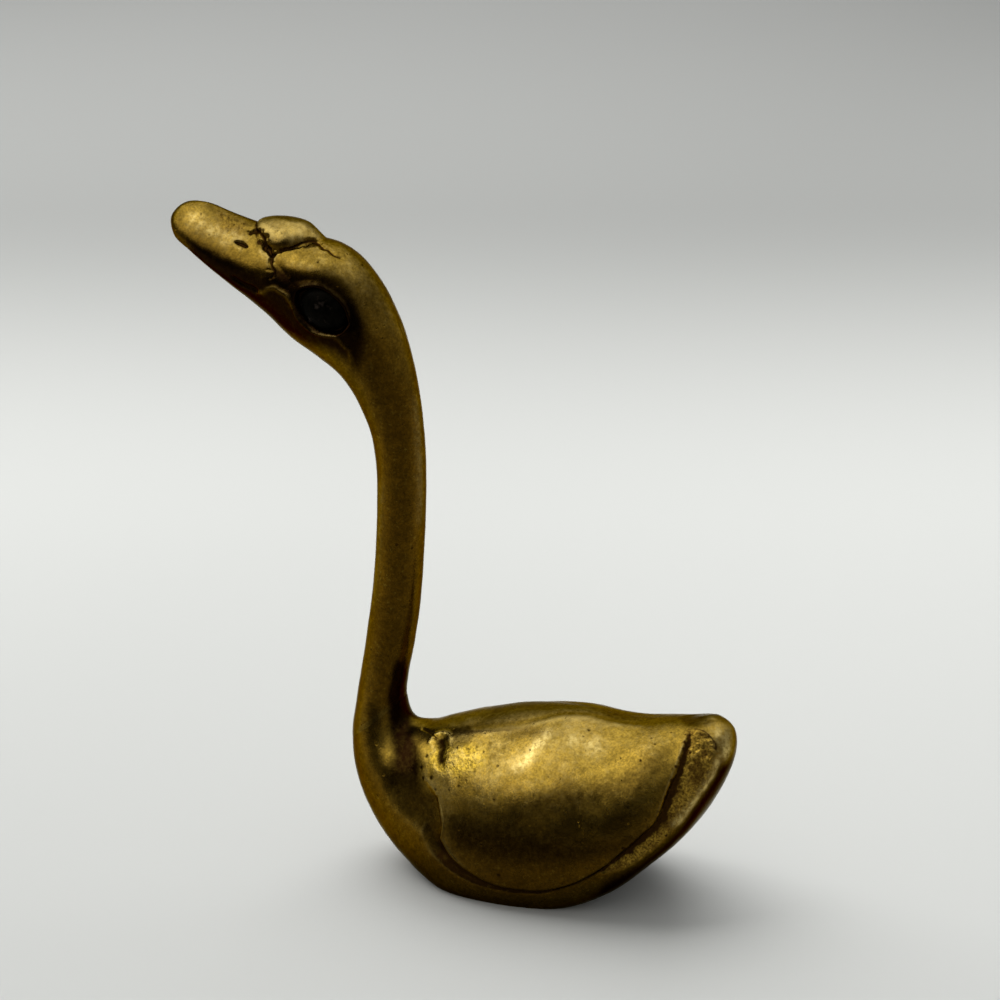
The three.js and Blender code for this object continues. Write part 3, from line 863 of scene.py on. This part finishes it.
def makeHead(part):
    bm = rollGoose(gooseLines["joint"] - 1.2, lastStation, part["rings"], part["around"], 0.0, part["denseFrom"])
    places, normals = vertexPlaces(bm), vertexNormals(bm)
    knob = part["knob"]
    back = places[:, 0] - knob["x"]
    spread = (back / np.where(back < 0, knob["halfLength"], knob["rearLength"])) ** 2
    spread = spread + (places[:, 1] / (knob["halfWidth"] - 0.12 * back)) ** 2
    dome = np.clip(1 - spread, 0, 1) ** (0.5 + 0.7 * ease(0, 6, back)) * (places[:, 2] > knob["above"])
    moveVertices(bm, places + normals * (knob["height"] * dome * ease(-0.1, 0.35, normals[:, 2]))[:, None])
    tree = BVHTree.FromBMesh(bm)
    refineNear(bm, [layLine(tree, part[line]) for line in ("billGroove", "crownGroove", "nostril")], 0.9)
    places, normals = vertexPlaces(bm), vertexNormals(bm)
    ragged = 1 + 0.8 * lumps(places, 0.8, 19)
    gap, along = lineGap(places, tree, part["billGroove"])
    gap = gap * ragged
    wide = 0.32 + 0.38 * bell(along - 0.32, 0.2)
    shift = -(0.3 + 0.35 * bell(along - 0.4, 0.3)) * bell(gap, wide)
    crease = gap / (wide * 0.8)
    gap, along = lineGap(places, tree, part["crownGroove"])
    gap = gap * ragged
    thick = 0.13 + 0.2 * bell(along - 0.55, 0.14) + 0.1 * ease(0.6, 0.7, along)
    shift -= 0.34 * bell(gap, thick + 0.12) * (1 - 0.5 * ease(0.6, 1.0, along))
    crease = np.minimum(crease, gap / thick)
    high, reach, rise = part["nape"]
    shift += rise * bell(places[:, 2] - high, reach) * ease(0.35, 0.8, normals[:, 0])
    pocket = insideDepth(places, tree, part["crownHollow"])
    stain = np.maximum(0.66 * ease(-0.35, 0.4, pocket + 0.3 * (ragged - 1)), 0.34 * ease(100, 108, places[:, 2]))
    stain = addStainsAndShades(stain, places, tree, part)
    gap, along = lineGap(places, tree, part["nostril"])
    lens = 0.14 + 0.28 * np.sin(np.pi * np.clip(along, 0, 1))
    shift -= 0.5 * bell(gap, lens)
    crease = np.minimum(crease, gap / lens)
    shift -= 0.45 * ease(-1.6, 2.0, insideDepth(places, tree, part["brow"]))
    socket = insideDepth(places, tree, part["eye"])
    shift -= 1.6 * ease(-0.1, 0.7, socket)
    # painted shade in and round the eye socket
    stain = np.maximum(stain, 0.95 * ease(-0.9, 0.1, socket))
    # painted shade over the lower side of the head
    stain = np.maximum(stain, 0.74 * ease(-2.6, 2.4, insideDepth(places, tree, part["lowerHeadShade"])))
    stain = np.maximum(stain, 0.72 * ease(-1.8, 1.6, insideDepth(places, tree, shoulderHollow)))
    gap, along = lineGap(places, tree, part["mouth"])
    shift -= 0.45 * bell(gap, 0.45) * ease(0, 0.2, along)
    crease = np.minimum(crease, gap / 0.4 + 0.2)
    for lid, rise, wide, rubbedAndHighlight in part["lids"]:
        gap, along = lineGap(places, tree, part[lid])
        ridge = bell(gap, wide) * ease(0, 0.12, along) * ease(0, 0.12, 1 - along)
        shift += rise * ridge
        stain *= 1 - rubbedAndHighlight * ridge
    gap, _ = lineGap(places, tree, part["napeMark"])
    gap = np.where(places[:, 1] < 0.6, gap, 12)
    shift -= 0.2 * bell(gap, 0.35)
    crease = np.clip(np.minimum(crease, gap / 0.3 + 0.3), 0, 3)
    pitted, pitDepth = dropPits(tree, places, part["pits"])
    stain = np.maximum(stain, 0.8 * pitted)
    shift += fileWaves(places) - 0.2 * pitDepth
    moveVertices(bm, places + normals * shift[:, None])
    cavity = cavityMask(bm)
    scuffed = ease(-0.8, 1.0, insideDepth(places, tree, part["scuffedBill"]))
    stain = np.maximum(stain, 0.34 * scuffed)
    # painted highlights, and painted reflections along the neck's edges
    worn = dropPits(tree, places, part["worn"])[0] * (0.5 + 0.6 * lumps(places, 1.4, 17))
    for pixels in part["rimReflections"]:
        gap, along = lineGap(places, tree, pixels)
        faded = ease(0, 0.15, along) * ease(0, 0.15, 1 - along)
        worn = np.maximum(worn, 0.16 * bell(gap, 1.1) * faded)
    stain = stain * (1 - 0.8 * np.clip(worn, 0, 1))
    plain = np.zeros(len(places))
    paintMasks(bm, cavity=cavity, crease=crease, stain=stain, asCast=0.6 * scuffed, braze=plain, worn=worn)
    trimAtJoint(bm, part["jointGap"], True)
    finishPiece(bm, "gooseHead", agedBrass, "neck_and_head_casting")
    return tree


headTree = makeHead(headPiece)  # its surface before the grooves, to set the eyes on

# brazed joint, filed flush with both castings
brazePiece = {"rings": 24, "around": 160, "halfThickness": 0.45}


def makeBraze(part):
    bm = rollGoose(gooseLines["joint"] - 0.3, gooseLines["joint"] + 0.3, part["rings"], part["around"])
    places, normals = vertexPlaces(bm), vertexNormals(bm)
    moveVertices(bm, places + normals * fileWaves(places)[:, None])
    plain = np.zeros(len(places))
    stain = 0.72 * ease(-1.8, 1.6, insideDepth(places, BVHTree.FromBMesh(bm), shoulderHollow))
    paintMasks(bm, cavity=plain + 0.5, crease=plain + 3, stain=stain, asCast=plain, braze=plain + 0.04, worn=plain)
    trimAtJoint(bm, part["halfThickness"], False)
    trimAtJoint(bm, -part["halfThickness"], True)
    finishPiece(bm, "neckBraze", brazeFiller, "neck_braze_band")


makeBraze(brazePiece)

# eyes, set in their sockets under the lids
eyePiece = {
    "centre": (320, 312), "halfLength": 4.9, "halfHeight": 4.1, "halfThickness": 2.2, "sunk": 0.35, "slope": -24,
    "irisRadius": 2.1, "irisWidth": 0.3, "irisRise": 0.02, "pupilRadius": 0.9, "pupilDepth": 0.03,
}


def makeEye(part, name, node, side):
    centre, outward, _, _ = castPixel(headTree, part["centre"])
    bm = bmesh.new()
    bmesh.ops.create_uvsphere(bm, u_segments=96, v_segments=64, radius=1.0)
    places = vertexPlaces(bm)
    radius = np.hypot(places[:, 0] * part["halfLength"], places[:, 1] * part["halfHeight"])
    facing = places[:, 2] > 0
    ring = bell(radius - part["irisRadius"], part["irisWidth"]) * facing
    pupil = bell(radius, part["pupilRadius"]) * facing
    places *= np.array([part["halfLength"], part["halfHeight"], part["halfThickness"]])
    places[:, 2] += part["irisRise"] * ring - part["pupilDepth"] * pupil
    moveVertices(bm, places)
    paintMasks(bm, iris=ring)
    slope = math.radians(part["slope"])
    forward = Vector((-math.cos(slope), 0, -math.sin(slope)))
    across = outward.cross(forward).normalized()
    forward = across.cross(outward)
    turn = Matrix((forward, across, outward)).transposed().to_4x4()
    seat = Matrix.Translation(centre - outward * (part["halfThickness"] + part["sunk"])) @ turn
    bmesh.ops.transform(bm, matrix=seat, verts=bm.verts)
    if side > 0:
        bmesh.ops.scale(bm, vec=(1, -1, 1), verts=bm.verts)
    bmesh.ops.recalc_face_normals(bm, faces=bm.faces)
    finishPiece(bm, name, eyeGlass, node)


makeEye(eyePiece, "eyeLeft", "eye_left", -1)
makeEye(eyePiece, "eyeRight", "eye_right", 1)

# floor, lights and surroundings
studio = {
    "floor": (0.64, 0.65, 0.63, 1), "frontFloor": (0.3, 0.3, 0.295, 1), "floorRadius": 3.0,
    "cameraAway": (-0.342, 0.94, 0), "cameraSide": (0.17, -0.985, 0),  # along the floor
    "awayFades": [(-0.1, 0.05, 0.98, 1.0), (0.185, 0.56, 1.0, 0.475), (0.5, 1.1, 1.0, 0.72)],  # from, to, level, level
    "acrossFade": (-0.12, 0.1, 0.965, 1.07),
    "keyAzimuth": -57, "keyElevation": 42.5, "keyDistance": 0.45, "keyWidth": 0.72, "keyHeight": 0.295,
    "keyPower": 1.03, "lampAim": (0, 0, 0.06),
    "sky": 1.6, "sides": 0.33, "behind": 0.6, "front": 0.01,
    "fillAzimuth": 222, "fillElevation": 42, "fillDistance": 0.95, "fillSize": 1.5, "fillPower": 17.4,
    "room": 0.38, "backdrop": 0.72, "darkSide": (-0.174, -0.985, 0),
}


def addFloor(look):
    bm = bmesh.new()
    bmesh.ops.create_circle(bm, cap_ends=True, segments=96, radius=look["floorRadius"])
    mesh = bpy.data.meshes.new("paleFloor")
    bm.to_mesh(mesh)
    bm.free()
    floor = bpy.data.objects.new("paleFloor", mesh)
    addToScene(floor)
    material, tree, shader = newMaterial("paleFloor")
    spot = put(tree, "ShaderNodeTexCoord").outputs["Object"]
    away = alongAxis(tree, spot, look["cameraAway"])
    # the floor as the camera sees it: painted shade, darker away from the camera and across it
    level = remap(tree, splitXYZ(tree, spot)[0], *look["acrossFade"])
    for fade in look["awayFades"]:
        level = times(tree, level, remap(tree, away, *fade))
    shade = feed(tree, put(tree, "ShaderNodeCombineColor"), i0=level, i1=level, i2=level).outputs[0]
    seen = blendColour(tree, 1.0, look["floor"], shade, "MULTIPLY")
    bearing = feed(tree, put(tree, "ShaderNodeVectorMath", operation="NORMALIZE"), i0=spot).outputs[0]
    ahead = remap(tree, alongAxis(tree, bearing, look["cameraSide"]), 0.1, 1.0)
    mirrored = blendColour(tree, ahead, look["floor"], look["frontFloor"])  # painted shade: dimmer towards the camera in reflections
    direct = put(tree, "ShaderNodeLightPath").outputs["Is Camera Ray"]
    tree.links.new(blendColour(tree, direct, mirrored, seen), shader.inputs["Base Color"])
    shader.inputs["Roughness"].default_value = 0.9
    shader.inputs["Specular IOR Level"].default_value = 0.1
    mesh.materials.append(material)


def addSoftbox(name, look, kind, width, height, shines):
    towards = direction(look[kind + "Azimuth"], look[kind + "Elevation"])
    data = bpy.data.lights.new(name, "AREA")
    data.shape = "RECTANGLE"
    data.size = width
    data.size_y = height
    data.energy = look[kind + "Power"]
    lamp = bpy.data.objects.new(name, data)
    lamp.matrix_world = lookingBack(Vector(look["lampAim"]) + towards * look[kind + "Distance"], towards)
    lamp.visible_glossy = shines
    lamp.visible_diffuse = not shines
    lamp.visible_camera = False
    addToScene(lamp)


def addLights(look):
    addSoftbox("keySoftbox", look, "key", look["keyWidth"], look["keyHeight"], True)  # shines on the brass
    addSoftbox("fillSoftbox", look, "fill", look["fillSize"], look["fillSize"], False)  # lights the floor
    world = bpy.data.worlds.new("studio")
    bpy.context.scene.world = world
    world.use_nodes = True
    tree = world.node_tree
    background = tree.nodes["Background"]
    compass = put(tree, "ShaderNodeTexCoord").outputs["Generated"]
    ahead = alongAxis(tree, compass, look["darkSide"])
    beside = remap(tree, ahead, -0.45, -0.9, look["sides"], look["behind"])  # pale wall behind the bird
    low = remap(tree, ahead, 0.64, 0.95, beside, look["front"])  # dark room behind the camera
    high = remap(tree, splitXYZ(tree, compass)[2], 0.55, 0.97)
    turned = feed(tree, put(tree, "ShaderNodeMix"), i0=high, i2=low, i3=look["sky"]).outputs[0]
    path = put(tree, "ShaderNodeLightPath").outputs
    lit = feed(tree, put(tree, "ShaderNodeMix"), i0=path["Is Glossy Ray"], i2=look["room"], i3=turned).outputs[0]
    level = most(tree, lit, times(tree, path["Is Camera Ray"], look["backdrop"]))
    tree.links.new(level, background.inputs["Strength"])
    background.inputs["Color"].default_value = (1.0, 1.0, 0.985, 1)


addFloor(studio)
addLights(studio)
bpy.context.scene.view_settings.view_transform = "Standard"
print("studio set")
